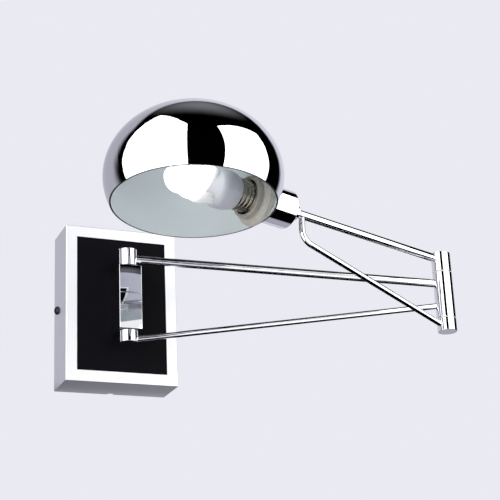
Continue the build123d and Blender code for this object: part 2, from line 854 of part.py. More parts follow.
base_tip = base_start - base_nose_length - base_tip_length
with BuildPart() as holder_contact:
    with BuildSketch(head_station(holder_bore_floor)):
        Rectangle(2 * contact_reach, contact_width)
    extrude(amount=contact_thick)
    with BuildSketch(head_station(holder_bore_floor)):
        Circle(contact_width / 2)
    extrude(amount=base_tip - holder_bore_floor - socket_fit)
holder_contact.part.label = "holder_contact"

# Lamp base: screw shell with rounded thread, insulator and centre contact
thread_root = thread_radius - thread_depth
thread_end = base_start + thread_turns * thread_pitch
with BuildPart() as bulb_shell:
    with BuildSketch(head_section):
        with BuildLine():
            for turn in range(thread_turns):
                root = base_start + turn * thread_pitch
                ThreePointArc(
                    (root, thread_root),
                    (root + thread_pitch / 2, thread_radius),
                    (root + thread_pitch, thread_root),
                )
            Polyline(
                (thread_end, thread_root),
                (housing_start, thread_root),
                (housing_start, 0),
                (base_start, 0),
                (base_start, thread_root),
            )
        make_face()
    revolve(axis=head_axis)
    with BuildSketch(head_station(base_start + base_skin)):
        Circle(thread_root - base_skin)
    extrude(amount=housing_start - base_start, mode=Mode.SUBTRACT)
bulb_shell.part.label = "bulb_shell"

with BuildPart() as bulb_insulator:
    with BuildSketch(head_station(base_start)):
        Circle(thread_root - thread_depth)
    with BuildSketch(head_station(base_start - base_nose_length)):
        Circle(base_nose_radius)
    loft()
bulb_insulator.part.label = "bulb_insulator"

with BuildPart() as bulb_contact:
    with BuildSketch(head_station(base_start - base_nose_length)):
        Circle(base_tip_radius)
    extrude(amount=-base_tip_length)
    fillet(bulb_contact.edges().sort_by(head_axis)[0], base_tip_length / 2)
bulb_contact.part.label = "bulb_contact"

# Lamp housing: a flared cup over the ballast, with two sockets for the glass and two vents in its side
housing_end = housing_start + housing_length
root_angles = [glass_start_angle, glass_start_angle + 180]
root_spots = [
    (glass_root_circle * sin(radians(angle)), glass_root_circle * cos(radians(angle)))
    for angle in root_angles
]
with BuildPart() as bulb_housing:
    with BuildSketch(head_section):
        with BuildLine():
            ThreePointArc(
                (housing_start, housing_neck_radius),
                (
                    housing_start + housing_flare / 2,
                    (housing_neck_radius + housing_radius) / 2 + housing_swell,
                ),
                (housing_start + housing_flare, housing_radius),
            )
            Polyline(
                (housing_start + housing_flare, housing_radius),
                (housing_end, housing_radius),
                (housing_end, 0),
                (housing_start, 0),
                (housing_start, housing_neck_radius),
            )
        make_face()
    revolve(axis=head_axis)
    fillet(bulb_housing.edges().filter_by(GeomType.CIRCLE).sort_by(head_axis)[-1], housing_round)
    with BuildSketch(head_station(housing_end)):
        with Locations(root_spots):
            Circle(glass_radius + hole_clearance)
    extrude(amount=-glass_socket_depth, mode=Mode.SUBTRACT)
    with BuildSketch(head_station(housing_start)):
        Circle(ballast_radius)
    extrude(amount=housing_length - 2 * glass_socket_depth, mode=Mode.SUBTRACT)
    for angle in vent_angles:
        outward = head_point(0, sin(radians(angle)), cos(radians(angle))) - head_frame.origin
        with BuildSketch(Plane(origin=head_point(housing_start + vent_reach), z_dir=outward)):
            Circle(vent_radius)
        extrude(amount=housing_radius, mode=Mode.SUBTRACT)
bulb_housing.part.label = "bulb_housing"

with BuildPart() as ballast_board:
    with BuildSketch(head_station(housing_start + ballast_lift)):
        Circle(ballast_radius - hole_clearance)
    extrude(amount=ballast_thick)
ballast_board.part.label = "ballast_board"


# Glass: two strands that climb side by side and meet in a bridge over the tip
def glass_point(angle, circle, along):
    turn = radians(angle)
    return head_point(along, circle * sin(turn), circle * cos(turn))


def glass_heading(angle, turn_speed, climb, spread):
    turn = radians(angle)
    outward = Vector(0, sin(turn), cos(turn))
    onward = Vector(0, cos(turn), -sin(turn))
    local = onward * turn_speed + outward * spread + Vector(climb, 0, 0)
    heading = head_frame.from_local_coords(local) - head_frame.origin
    return heading.normalized()


def biarc(start, start_heading, end, end_heading):
    chord = end - start
    both = start_heading + end_heading
    bend = 2 * (1 - start_heading.dot(end_heading))
    reach = chord.dot(both)
    handle = (-reach + (reach**2 + bend * chord.dot(chord)) ** 0.5) / bend
    leaving = start + start_heading * handle
    arriving = end - end_heading * handle
    middle = (leaving + arriving) / 2
    TangentArc(start, middle, tangent=start_heading)
    TangentArc(middle, end, tangent=(arriving - leaving).normalized())


helix_start = housing_end + glass_stub + glass_knee_rise
quarter_climb = glass_pitch / 4
taper = (glass_wide_circle - glass_tip_circle) / max(glass_quarter_turns - 1, 1)
glass_nodes = [
    (
        glass_point(glass_start_angle, glass_root_circle, housing_end + glass_stub),
        glass_heading(glass_start_angle, 0, 1, 0),
    )
]
for step in range(glass_quarter_turns):
    angle = glass_start_angle + glass_knee_turn + 90 * step
    circle = glass_wide_circle - taper * step
    glass_nodes.append(
        (
            glass_point(angle, circle, helix_start + quarter_climb * step),
            glass_heading(angle, circle * pi / 2, quarter_climb, 0 if step == 0 else -taper),
        )
    )
last_angle = glass_start_angle + glass_knee_turn + 90 * (glass_quarter_turns - 1)
bridge_along = helix_start + quarter_climb * (glass_quarter_turns - 1) + glass_bridge_rise
bridge_heading = glass_heading(last_angle + 90 + glass_bridge_swing, 1, 0, 0)
glass_nodes.append((head_point(bridge_along), bridge_heading))


def opposite(vector):
    # The other strand is this one turned half way round the lamp's axis
    local = head_frame.to_local_coords(head_frame.origin + vector)
    turned = Vector(local.X, -local.Y, -local.Z)
    return head_frame.from_local_coords(turned) - head_frame.origin


second_strand = [
    (head_frame.origin + opposite(point - head_frame.origin), -opposite(heading))
    for point, heading in reversed(glass_nodes[:-1])
]
glass_nodes = glass_nodes + second_strand

glass_ends = [
    glass_point(angle, glass_root_circle, housing_end - glass_socket_depth) for angle in root_angles
]
with BuildPart() as bulb_tube:
    with BuildLine() as glass_route:
        Line(glass_ends[0], glass_nodes[0][0])
        for (start, start_heading), (end, end_heading) in zip(glass_nodes, glass_nodes[1:]):
            biarc(start, start_heading, end, end_heading)
        Line(glass_nodes[-1][0], glass_ends[1])
    with BuildSketch(Plane(origin=glass_ends[0], z_dir=head_frame.x_dir)):
        Circle(glass_radius)
    sweep(path=glass_route.line)
bulb_tube.part.label = "bulb_tube"

# Least gap between stretches of the glass that are not neighbours along it
glass_wire = glass_route.wire()
glass_samples = 240
glass_line = [glass_wire @ (step / glass_samples) for step in range(glass_samples + 1)]
apart = int(glass_samples * pi * glass_radius / glass_wire.length) + 1
least = min(
    (glass_line[one] - glass_line[two]).length
    for one in range(glass_samples + 1)
    for two in range(one + apart, glass_samples + 1)
)
bends = [edge.radius for edge in glass_wire.edges() if edge.geom_type == GeomType.CIRCLE]
print("glass: least gap", round(least - 2 * glass_radius, 2), "tightest bend", round(min(bends), 2))
section_volume = pi * glass_radius**2 * glass_wire.length
print("glass: volume", round(bulb_tube.part.volume), "section times length", round(section_volume))

export_step(wall_strap.part, "parts/wall_strap.step")
export_step(cover.part, "parts/cover.step")
export_step(inset_panel.part, "parts/inset_panel.step")
export_step(backing_plate.part, "parts/backing_plate.step")
export_step(cover_screws.part, "parts/cover_screws.step")
export_step(pivot_block.part, "parts/pivot_block.step")
export_step(bolt_washers.part, "parts/bolt_washers.step")
export_step(block_bolts.part, "parts/block_bolts.step")
export_step(cable_bush.part, "parts/cable_bush.step")
export_step(terminal_block.part, "parts/terminal_block.step")
export_step(terminal_screws.part, "parts/terminal_screws.step")
export_step(terminal_fixing, "parts/terminal_fixing.step")
export_step(earth_screw, "parts/earth_screw.step")
export_step(supply_leads.part, "parts/supply_leads.step")
export_step(top_pivot, "parts/top_pivot.step")
export_step(bottom_pivot, "parts/bottom_pivot.step")
export_step(pivot_washers.part, "parts/pivot_washers.step")
export_step(top_barrel, "parts/top_barrel.step")
export_step(top_barrel_cap, "parts/top_barrel_cap.step")
export_step(bottom_barrel, "parts/bottom_barrel.step")
export_step(bottom_barrel_cap, "parts/bottom_barrel_cap.step")
export_step(first_tube, "parts/first_tube.step")
export_step(first_rod, "parts/first_rod.step")
export_step(first_lead, "parts/first_lead.step")
export_step(elbow_sleeve.part, "parts/elbow_sleeve.step")
export_step(elbow_top_pivot, "parts/elbow_top_pivot.step")
export_step(elbow_bottom_pivot, "parts/elbow_bottom_pivot.step")
export_step(elbow_washers.part, "parts/elbow_washers.step")
export_step(elbow_top_boss, "parts/elbow_top_boss.step")
export_step(elbow_top_cap, "parts/elbow_top_cap.step")
export_step(elbow_bottom_boss, "parts/elbow_bottom_boss.step")
export_step(elbow_bottom_cap, "parts/elbow_bottom_cap.step")
export_step(second_tube, "parts/second_tube.step")
export_step(second_lead, "parts/second_lead.step")
export_step(brace_rod.part, "parts/brace_rod.step")
export_step(swivel_bush.part, "parts/swivel_bush.step")
export_step(swivel_grub.part, "parts/swivel_grub.step")
export_step(swivel_washer.part, "parts/swivel_washer.step")
export_step(swivel_nut.part, "parts/swivel_nut.step")
export_step(neck_cup.part, "parts/neck_cup.step")
export_step(shade.part, "parts/shade.step")
export_step(lampholder.part, "parts/lampholder.step")
export_step(shade_ring.part, "parts/shade_ring.step")
export_step(holder_screws, "parts/holder_screws.step")
export_step(holder_shell.part, "parts/holder_shell.step")
export_step(holder_contact.part, "parts/holder_contact.step")
export_step(bulb_shell.part, "parts/bulb_shell.step")
export_step(bulb_insulator.part, "parts/bulb_insulator.step")
export_step(bulb_contact.part, "parts/bulb_contact.step")
export_step(bulb_housing.part, "parts/bulb_housing.step")
export_step(ballast_board.part, "parts/ballast_board.step")
export_step(bulb_tube.part, "parts/bulb_tube.step")
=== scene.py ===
import json
import math

import bpy
from mathutils import Matrix, Vector

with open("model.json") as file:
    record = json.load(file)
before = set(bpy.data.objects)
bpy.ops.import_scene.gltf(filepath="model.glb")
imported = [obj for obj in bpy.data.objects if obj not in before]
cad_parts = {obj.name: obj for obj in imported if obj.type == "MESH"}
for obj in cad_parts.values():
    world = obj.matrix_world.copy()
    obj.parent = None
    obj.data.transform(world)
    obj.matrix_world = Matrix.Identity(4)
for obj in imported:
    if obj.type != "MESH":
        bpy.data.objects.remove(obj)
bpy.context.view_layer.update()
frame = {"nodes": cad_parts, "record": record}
nodes = frame["nodes"]

metre = 1000.0  # in millimetres


def toLinear(hexColour):
    channels = [int(hexColour[start:start + 2], 16) / 255 for start in (1, 3, 5)]
    return tuple(
        c / 12.92 if c <= 0.04045 else ((c + 0.055) / 1.055) ** 2.4 for c in channels
    ) + (1.0,)


def perMetre(millimetres):
    return metre / millimetres  # the scale of a noise that repeats about every so many millimetres


def addNode(tree, kind, inputs, **settings):
    node = tree.nodes.new(kind)
    for name, value in settings.items():
        setattr(node, name, value)
    for socket, value in inputs.items():
        if isinstance(value, bpy.types.NodeSocket):
            tree.links.new(value, node.inputs[socket])
        else:
            node.inputs[socket].default_value = value
    return node


def startFinish(name):
    material = bpy.data.materials.new(name)
    material.use_nodes = True
    material.node_tree.nodes.clear()
    return material, material.node_tree


def ownPlace(tree):
    return addNode(tree, "ShaderNodeTexCoord", {}).outputs["Object"]


def endFinish(tree, shader):
    addNode(tree, "ShaderNodeOutputMaterial", {"Surface": shader.outputs[0]})


# A slow bend of a mirror that shows only in what it reflects: it falls away above and below its
# middle height, and turns sideways with height
def mirrorBend(tree, place, look):
    spot = addNode(tree, "ShaderNodeSeparateXYZ", {"Vector": place})
    above = addNode(
        tree, "ShaderNodeMath", {0: spot.outputs["Z"], 1: look["crownMiddle"] / metre}, operation="SUBTRACT"
    )
    squared = addNode(
        tree, "ShaderNodeMath", {0: above.outputs[0], 1: above.outputs[0]}, operation="MULTIPLY"
    )
    fall = addNode(
        tree, "ShaderNodeMath", {0: squared.outputs[0], 1: -metre / look["crownRadius"] / 2},
        operation="MULTIPLY",
    )
    lift = addNode(
        tree, "ShaderNodeMath", {0: spot.outputs["Z"], 1: look["twistFoot"] / metre}, operation="ADD"
    )
    turn = addNode(tree, "ShaderNodeMath", {0: lift.outputs[0], 1: look["twist"]}, operation="MULTIPLY")
    height = addNode(
        tree, "ShaderNodeMath", {0: spot.outputs["X"], 1: turn.outputs[0], 2: fall.outputs[0]},
        operation="MULTIPLY_ADD",
    )
    bend = addNode(tree, "ShaderNodeBump", {"Height": height.outputs[0], "Strength": 1.0, "Distance": 1.0})
    return bend.outputs["Normal"]


wear = {
    "driftDetail": 3.0, "driftRoughness": 0.55, "smoothBelow": 0.3, "dullAbove": 0.7, "grainDetail": 2.0,
}


# One plain recipe for the finishes that differ only in their values: a base colour that wanders a
# little, a roughness that wanders with it, and a fine relief
def wornFinish(name, look):
    material, tree = startFinish(name)
    place = ownPlace(tree)
    drift = addNode(
        tree, "ShaderNodeTexNoise",
        {"Vector": place, "Scale": perMetre(look["driftSize"]), "Detail": wear["driftDetail"],
         "Roughness": wear["driftRoughness"]},
    )
    colour = addNode(
        tree, "ShaderNodeMix",
        {"Factor": drift.outputs["Fac"], "A": toLinear(look["colour"]), "B": toLinear(look["colourDrift"])},
        data_type="RGBA",
    )
    smooth, dull = look["roughness"]
    polish = addNode(
        tree, "ShaderNodeMapRange",
        {"Value": drift.outputs["Fac"], "From Min": wear["smoothBelow"], "From Max": wear["dullAbove"],
         "To Min": smooth, "To Max": dull},
    )
    grain = addNode(
        tree, "ShaderNodeTexNoise",
        {"Vector": place, "Scale": perMetre(look["grainSize"]), "Detail": wear["grainDetail"]},
    )
    relief = addNode(
        tree, "ShaderNodeBump",
        {"Height": grain.outputs["Fac"], "Strength": look["grainStrength"],
         "Distance": look["grainDepth"] / metre},
    )
    if "crownRadius" in look:
        tree.links.new(mirrorBend(tree, place, look), relief.inputs["Normal"])
    shader = addNode(
        tree, "ShaderNodeBsdfPrincipled",
        {"Base Color": colour.outputs["Result"], "Roughness": polish.outputs["Result"],
         "Normal": relief.outputs["Normal"], "Metallic": look["metallic"]},
    )
    for socket, value in look.get("more", {}).items():
        shader.inputs[socket].default_value = value
    endFinish(tree, shader)
    return material


# Bright chrome plate over polished steel: a cool mirror, with a breath of polishing haze and
# the slow ripple of the plating that keeps reflected edges from being ruler straight
chromeLook = {
    "colour": "#e6e7ea", "colourDrift": "#dcdde2", "driftSize": 16.0, "roughness": (0.012, 0.035),
    "grainSize": 34.0, "grainStrength": 0.5, "grainDepth": 0.006, "metallic": 1.0,
}
polishedChrome = wornFinish("PolishedChromePlate", chromeLook)

# The same plate over a deep-drawn box: the sides keep the haze of the draw, so they mirror softly
drawnLook = {**chromeLook, "roughness": (0.13, 0.19), "grainSize": 2.4, "grainStrength": 0.2}
drawnChrome = wornFinish("DrawnChromePlate", drawnLook)

# The box's front border is fine-blasted before plating: a pale satin with no picture in it
satinLook = {
    "colour": "#fafafc", "colourDrift": "#f4f4f7", "driftSize": 11.0, "roughness": (0.56, 0.62),
    "grainSize": 0.7, "grainStrength": 0.2, "grainDepth": 0.01, "metallic": 1.0,
}
satinChrome = wornFinish("SatinChromePlate", satinLook)

# The cast block is buffed on a soft wheel, which leaves its face a little crowned and out of wind,
# so that it draws what it mirrors small and slanting
buffedLook = {
    **chromeLook, "crownRadius": 400.0, "crownMiddle": -7.0, "twist": 0.85, "twistFoot": 82.0,
}
buffedChrome = wornFinish("BuffedChromeCasting", buffedLook)

# The dome's trimmed edge: dull bare steel, its colour painted dark as a shaded outline round the rim
paintedDarkEdgeLook = {
    "colour": "#4d4d52", "colourDrift": "#3c3c41", "driftSize": 9.0, "roughness": (0.5, 0.6),
    "grainSize": 0.6, "grainStrength": 0.3, "grainDepth": 0.02, "metallic": 1.0,
}
paintedDarkEdge = wornFinish("SteelEdgePaintedDark", paintedDarkEdgeLook)

# Stoved black lacquer, sprayed and left unpolished: nearly no gloss, a soft tooth close up
lacquerLook = {
    "colour": "#09090d", "colourDrift": "#0d0d12", "driftSize": 30.0, "roughness": (0.42, 0.55),
    "grainSize": 0.7, "grainStrength": 0.35, "grainDepth": 0.02, "metallic": 0.0,
    "more": {"Specular IOR Level": 0.04},
}
blackLacquer = wornFinish("StovedBlackLacquer", lacquerLook)

# White stove enamel sprayed inside the dome: satin, a shade cooler than the lamp's light
enamelLook = {
    "colour": "#dde4e6", "colourDrift": "#d5dcdf", "driftSize": 40.0, "roughness": (0.34, 0.44),
    "grainSize": 1.6, "grainStrength": 0.25, "grainDepth": 0.02, "metallic": 0.0,
}
whiteEnamel = wornFinish("WhiteStoveEnamel", enamelLook)

# Glazed steatite of a lampholder: a warm grey beige with a wet glaze
steatiteLook = {
    "colour": "#98948b", "colourDrift": "#8d8980", "driftSize": 9.0, "roughness": (0.22, 0.34),
    "grainSize": 1.2, "grainStrength": 0.3, "grainDepth": 0.03, "metallic": 0.0,
}
glazedSteatite = wornFinish("GlazedSteatite", steatiteLook)

# Urea resin of the shade ring: the same beige, moulded and duller
resinLook = {
    "colour": "#b0ada4", "colourDrift": "#a5a299", "driftSize": 12.0, "roughness": (0.38, 0.5),
    "grainSize": 0.8, "grainStrength": 0.3, "grainDepth": 0.02, "metallic": 0.0,
}
ureaResin = wornFinish("MouldedUreaResin", resinLook)

# Nickel plate on the lamp's rolled screw shell: warm grey, faintly brushed by the holder
nickelLook = {
    "colour": "#8d887e", "colourDrift": "#7a756b", "driftSize": 5.0, "roughness": (0.22, 0.38),
    "grainSize": 0.5, "grainStrength": 0.2, "grainDepth": 0.01, "metallic": 1.0,
}
nickelPlate = wornFinish("NickelPlateRolled", nickelLook)

# Zinc-plated steel of the hidden strap, plate and fixings: dull silver with a faint blue cast
zincLook = {
    "colour": "#b4b8bd", "colourDrift": "#a0a4ab", "driftSize": 7.0, "roughness": (0.3, 0.46),
    "grainSize": 0.8, "grainStrength": 0.3, "grainDepth": 0.02, "metallic": 1.0,
}
zincSteel = wornFinish("ZincPlatedSteel", zincLook)

# Turned brass of studs, terminals and contacts: a warm yellow, bright where the tool left it smooth
brassLook = {
    "colour": "#c9a85c", "colourDrift": "#b8954a", "driftSize": 6.0, "roughness": (0.2, 0.34),
    "grainSize": 0.4, "grainStrength": 0.2, "grainDepth": 0.01, "metallic": 1.0,
}
turnedBrass = wornFinish("TurnedBrass", brassLook)

# Natural nylon of bush, washers and terminal block: milky and slightly waxy
nylonLook = {
    "colour": "#dcdcd4", "colourDrift": "#d2d2c8", "driftSize": 8.0, "roughness": (0.36, 0.48),
    "grainSize": 0.6, "grainStrength": 0.2, "grainDepth": 0.01, "metallic": 0.0,
    "more": {"Subsurface Weight": 0.15, "Subsurface Scale": 0.001},
}
naturalNylon = wornFinish("NaturalNylon", nylonLook)

# Carbon-filled nylon of the washers by the block: a matt near-black line between bright pieces
washerLook = {
    "colour": "#1b1b1f", "colourDrift": "#232327", "driftSize": 5.0, "roughness": (0.4, 0.52),
    "grainSize": 0.6, "grainStrength": 0.2, "grainDepth": 0.01, "metallic": 0.0,
}
filledNylon = wornFinish("CarbonFilledNylon", washerLook)

# Blacked steel of the cover's side screws: dark, oiled, with a small bright glint
screwLook = {
    "colour": "#3a3a40", "colourDrift": "#2c2c32", "driftSize": 3.0, "roughness": (0.1, 0.16),
    "grainSize": 0.5, "grainStrength": 0.2, "grainDepth": 0.01, "metallic": 1.0,
}
blackedSteel = wornFinish("BlackedSteel", screwLook)

# PVC sheath of the leads: a plain pale grey with a soft sheen
sheathLook = {
    "colour": "#c9c9c6", "colourDrift": "#bdbdb9", "driftSize": 10.0, "roughness": (0.42, 0.52),
    "grainSize": 0.7, "grainStrength": 0.2, "grainDepth": 0.01, "metallic": 0.0,
}
leadSheath = wornFinish("PvcLeadSheath", sheathLook)

# Black vitrite glass under the lamp's contact: glossy and opaque
vitriteLook = {
    "colour": "#121216", "colourDrift": "#1a1a1f", "driftSize": 4.0, "roughness": (0.12, 0.2),
    "grainSize": 1.0, "grainStrength": 0.2, "grainDepth": 0.02, "metallic": 0.0,
}
blackVitrite = wornFinish("BlackVitrite", vitriteLook)

# Solder-masked circuit laminate: a dull green
laminateLook = {
    "colour": "#2d5a35", "colourDrift": "#254c2d", "driftSize": 3.0, "roughness": (0.35, 0.5),
    "grainSize": 0.5, "grainStrength": 0.3, "grainDepth": 0.02, "metallic": 0.0,
}
circuitLaminate = wornFinish("CircuitLaminate", laminateLook)

# Where the lamp head stands, in metres and degrees, from the same sizes as the solids
headPlace = {
    "pivotReach": 0.056, "firstArmLength": 0.276, "firstArmAngle": -17.13, "tubeHeight": 0.032,
    "secondArmAngle": -163.42, "rise": 3.0, "turn": 2.15, "shadeDistance": 0.2712, "shadeLift": 0.002,
}
firstBearing = math.radians(headPlace["firstArmAngle"])
bearing, rise = math.radians(headPlace["secondArmAngle"]), math.radians(headPlace["rise"])
headAlong = Vector((math.cos(rise) * math.cos(bearing), math.cos(rise) * math.sin(bearing), math.sin(rise)))
headUp = Vector((-math.sin(rise) * math.cos(bearing), -math.sin(rise) * math.sin(bearing), math.cos(rise)))
headUp.rotate(Matrix.Rotation(math.radians(headPlace["turn"]), 3, headAlong))
headRoot = Vector((
    headPlace["firstArmLength"] * math.cos(firstBearing),
    headPlace["firstArmLength"] * math.sin(firstBearing) - headPlace["pivotReach"],
    headPlace["tubeHeight"],
))
shadeCentre = headRoot + headAlong * headPlace["shadeDistance"] + headUp * headPlace["shadeLift"]

# The lamp's light is dim by the electrodes and swells away from them, sooner above than below
glowLean = 0.5
glowWay = headAlong + headUp * glowLean


# A strength that swells along the lamp, away from the elbow
def alongHead(tree, place, darkTo, brightFrom, strength):
    fromElbow = addNode(tree, "ShaderNodeVectorMath", {0: place, 1: headRoot}, operation="SUBTRACT")
    along = addNode(
        tree, "ShaderNodeVectorMath", {0: fromElbow.outputs["Vector"], 1: glowWay}, operation="DOT_PRODUCT"
    )
    swell = addNode(
        tree, "ShaderNodeMapRange",
        {"Value": along.outputs["Value"], "From Min": darkTo, "From Max": brightFrom,
         "To Min": 0.0, "To Max": strength},
        interpolation_type="SMOOTHSTEP",
    )
    return swell.outputs["Result"]


# Phosphor-coated glass, alight: a chalky white tube that glows evenly, but for its dim lower end by
# the housing
glassLook = {
    "colour": "#e4e6e4", "colourDrift": "#d9dbda", "coatSize": 3.0, "coatDetail": 2.0, "roughness": 0.16,
    "glow": "#fffffc", "glowStrength": 1.3, "dimTo": 0.2550, "brightFrom": 0.2670,
}


def litGlass(look):
    material, tree = startFinish("PhosphorCoatedGlass")
    place = ownPlace(tree)
    coat = addNode(
        tree, "ShaderNodeTexNoise",
        {"Vector": place, "Scale": perMetre(look["coatSize"]), "Detail": look["coatDetail"]},
    )
    colour = addNode(
        tree, "ShaderNodeMix",
        {"Factor": coat.outputs["Fac"], "A": toLinear(look["colour"]), "B": toLinear(look["colourDrift"])},
        data_type="RGBA",
    )
    glow = alongHead(tree, place, look["dimTo"], look["brightFrom"], look["glowStrength"])
    shader = addNode(
        tree, "ShaderNodeBsdfPrincipled",
        {"Base Color": colour.outputs["Result"], "Roughness": look["roughness"],
         "Emission Color": toLinear(look["glow"]), "Emission Strength": glow},
    )
    endFinish(tree, shader)
    return material


phosphorGlass = litGlass(glassLook)

# PBT of the lamp's ballast housing: a cool white moulding with a light sheen. Near its mouth a painted
# glow, emission on the housing itself, stands in for the lamp's light spilling over it
housingLook = {
    "colour": "#b0b1b9", "colourDrift": "#a7a8b1", "driftSize": 14.0, "roughness": (0.28, 0.38),
    "grainSize": 0.6, "grainStrength": 0.2, "grainDepth": 0.015, "metallic": 0.0,
}
# Painted glow on the housing by the glass: its colour, strength and where it fades in
paintedMouthGlow = {"colour": "#f4fafa", "strength": 0.24, "darkTo": 0.2430, "brightFrom": 0.2600}


def mouldingWithPaintedGlow(look, light):
    material = wornFinish("MouldedPbt", look)
    tree = material.node_tree
    shader = next(node for node in tree.nodes if node.type == "BSDF_PRINCIPLED")
    # painted glow: the housing emits light near the glass, standing in for the lamp lighting it
    paintedShine = alongHead(tree, ownPlace(tree), light["darkTo"], light["brightFrom"], light["strength"])
    shader.inputs["Emission Color"].default_value = toLinear(light["colour"])
    tree.links.new(paintedShine, shader.inputs["Emission Strength"])
    return material


glowPaintedPlastic = mouldingWithPaintedGlow(housingLook, paintedMouthGlow)

finishOf = {
    "chrome_plate": polishedChrome, "black_lacquer": blackLacquer, "zinc_plated_steel": zincSteel,
    "brass": turnedBrass, "nylon": naturalNylon, "lead_insulation": leadSheath,
    "porcelain": glazedSteatite, "moulded_resin": ureaResin, "clear_nylon": naturalNylon,
    "nickel_plate": nickelPlate, "black_vitrite": blackVitrite, "lamp_plastic": glowPaintedPlastic,
    "circuit_board": circuitLaminate, "coated_glass": phosphorGlass,
}
# Pieces that differ from the rest of their slot
ownFinish = {
    "pivot_block": buffedChrome, "pivot_washers": filledNylon, "cover_screws": blackedSteel,
    "cover": drawnChrome,
}
slotOf = {row["node"]: row["material_slot"] for row in frame["record"]["subparts"]}
for name, solid in nodes.items():
    solid.data.materials.clear()
    solid.data.materials.append(ownFinish.get(name, finishOf[slotOf[name]]))
print("finishes:", len(finishOf), "slots dressed")

# The wall box keeps its hazy sides, under a satin front border with bright rounded edges
coverFace = {
    "front": -0.0385, "slack": 0.0004, "frontFacing": -0.95, "edgeFacing": -0.05,
    "satin": 1, "bright": 2,
}
coverMesh = nodes["cover"].data
coverMesh.materials.append(satinChrome)
coverMesh.materials.append(polishedChrome)
for face in coverMesh.polygons:
    atFront = abs(face.center.y - coverFace["front"]) < coverFace["slack"]
    if atFront and face.normal.y < coverFace["frontFacing"]:
        face.material_index = coverFace["satin"]
    elif coverFace["frontFacing"] <= face.normal.y < coverFace["edgeFacing"]:
        face.material_index = coverFace["bright"]
print("cover:", len(coverMesh.materials), "finishes on", len(coverMesh.polygons), "faces")

# The dome's inside is enamelled, its outside is plated and its trimmed edge is dull, painted dark as a
# shaded outline
shadeFace = {
    "radius": 0.070, "crown": 0.0575, "wall": 0.0012, "edgeFacing": 0.9, "edgeBelow": 0.0,
    "enamel": 1, "edge": 2,
}
shadeMesh = nodes["shade"].data
shadeMesh.materials.append(whiteEnamel)
shadeMesh.materials.append(paintedDarkEdge)
midWall = 1 - shadeFace["wall"] / shadeFace["radius"] / 2
enamelled = 0
for face in shadeMesh.polygons:
    fromCentre = face.center - shadeCentre
    up = fromCentre.dot(headUp)
    out = (fromCentre - headUp * up).length
    inside = (out / shadeFace["radius"]) ** 2 + (up / shadeFace["crown"]) ** 2 < midWall ** 2
    # downward edge faces below the middle get the painted dark outline
    if face.normal.dot(headUp) < -shadeFace["edgeFacing"] and up < shadeFace["edgeBelow"]:
        face.material_index = shadeFace["edge"]
    elif inside and face.normal.dot(fromCentre) < 0:
        face.material_index = shadeFace["enamel"]
        enamelled += 1
print("shade:", enamelled, "faces enamelled of", len(shadeMesh.polygons))


# Studio: two big diffusers either side of the lens, black cloth round and above them, the mounting
# board that the metal mirrors, and a pale floor well below
def stageMesh(name, points, faces, material):
    mesh = bpy.data.meshes.new(name)
    mesh.from_pydata(points, [], faces)
    mesh.materials.append(material)
    piece = bpy.data.objects.new(name, mesh)
    bpy.context.scene.collection.objects.link(piece)
    return piece


def stageSheet(name, corners, material):
    return stageMesh(name, corners, [(0, 1, 2, 3)], material)


def levelSheet(start, end, height):
    (left, near), (right, far) = start, end
    return [(left, near, height), (right, near, height), (right, far, height), (left, far, height)]


def uprightSheet(start, end, depth):
    (left, low), (right, high) = start, end
    return [(left, depth, low), (right, depth, low), (right, depth, high), (left, depth, high)]


def plainFinish(name, colour, glow=0.0):
    material, tree = startFinish(name)
    if glow:
        shader = addNode(tree, "ShaderNodeEmission", {"Color": toLinear(colour), "Strength": glow})
    else:
        shader = addNode(tree, "ShaderNodeBsdfDiffuse", {"Color": toLinear(colour)})
    endFinish(tree, shader)
    return material


# Pale paper on the floor: what the lens sees of it is lifted to the tone of the room behind
floorLook = {"height": -0.62, "half": 4.0, "colour": "#e6e6ee", "lift": 0.7}


def floorPaper(look):
    material, tree = startFinish("PaleFloorPaper")
    paper = addNode(tree, "ShaderNodeBsdfDiffuse", {"Color": toLinear(look["colour"])})
    seen = addNode(tree, "ShaderNodeLightPath", {})
    lift = addNode(
        tree, "ShaderNodeMath", {0: seen.outputs["Is Camera Ray"], 1: look["lift"]}, operation="MULTIPLY"
    )
    glow = addNode(
        tree, "ShaderNodeEmission", {"Color": toLinear(look["colour"]), "Strength": lift.outputs[0]}
    )
    endFinish(tree, addNode(tree, "ShaderNodeAddShader", {0: paper.outputs[0], 1: glow.outputs[0]}))
    return material


floorCorners = (-floorLook["half"], -floorLook["half"]), (floorLook["half"], floorLook["half"])
floor = stageSheet("paleFloor", levelSheet(*floorCorners, floorLook["height"]), floorPaper(floorLook))
floor.visible_glossy = False

diffusers = {
    "leftDiffuser": {
        "from": (-0.385, -0.970), "to": (-0.385, -0.080), "bottom": -0.62, "top": 1.10,
        "colour": "#ffffff", "glow": 2.4,
    },
    "rightDiffuser": {
        "from": (0.150, -0.723), "to": (0.630, -0.320), "bottom": -0.28, "top": 0.60,
        "colour": "#ffffff", "glow": 2.4,
    },
}
for name, look in diffusers.items():
    corners = [
        (*look[end], look[height])
        for end, height in (("from", "bottom"), ("to", "bottom"), ("to", "top"), ("from", "top"))
    ]
    panel = stageSheet(name, corners, plainFinish(name + "Cloth", look["colour"], look["glow"]))
    panel.visible_camera = False

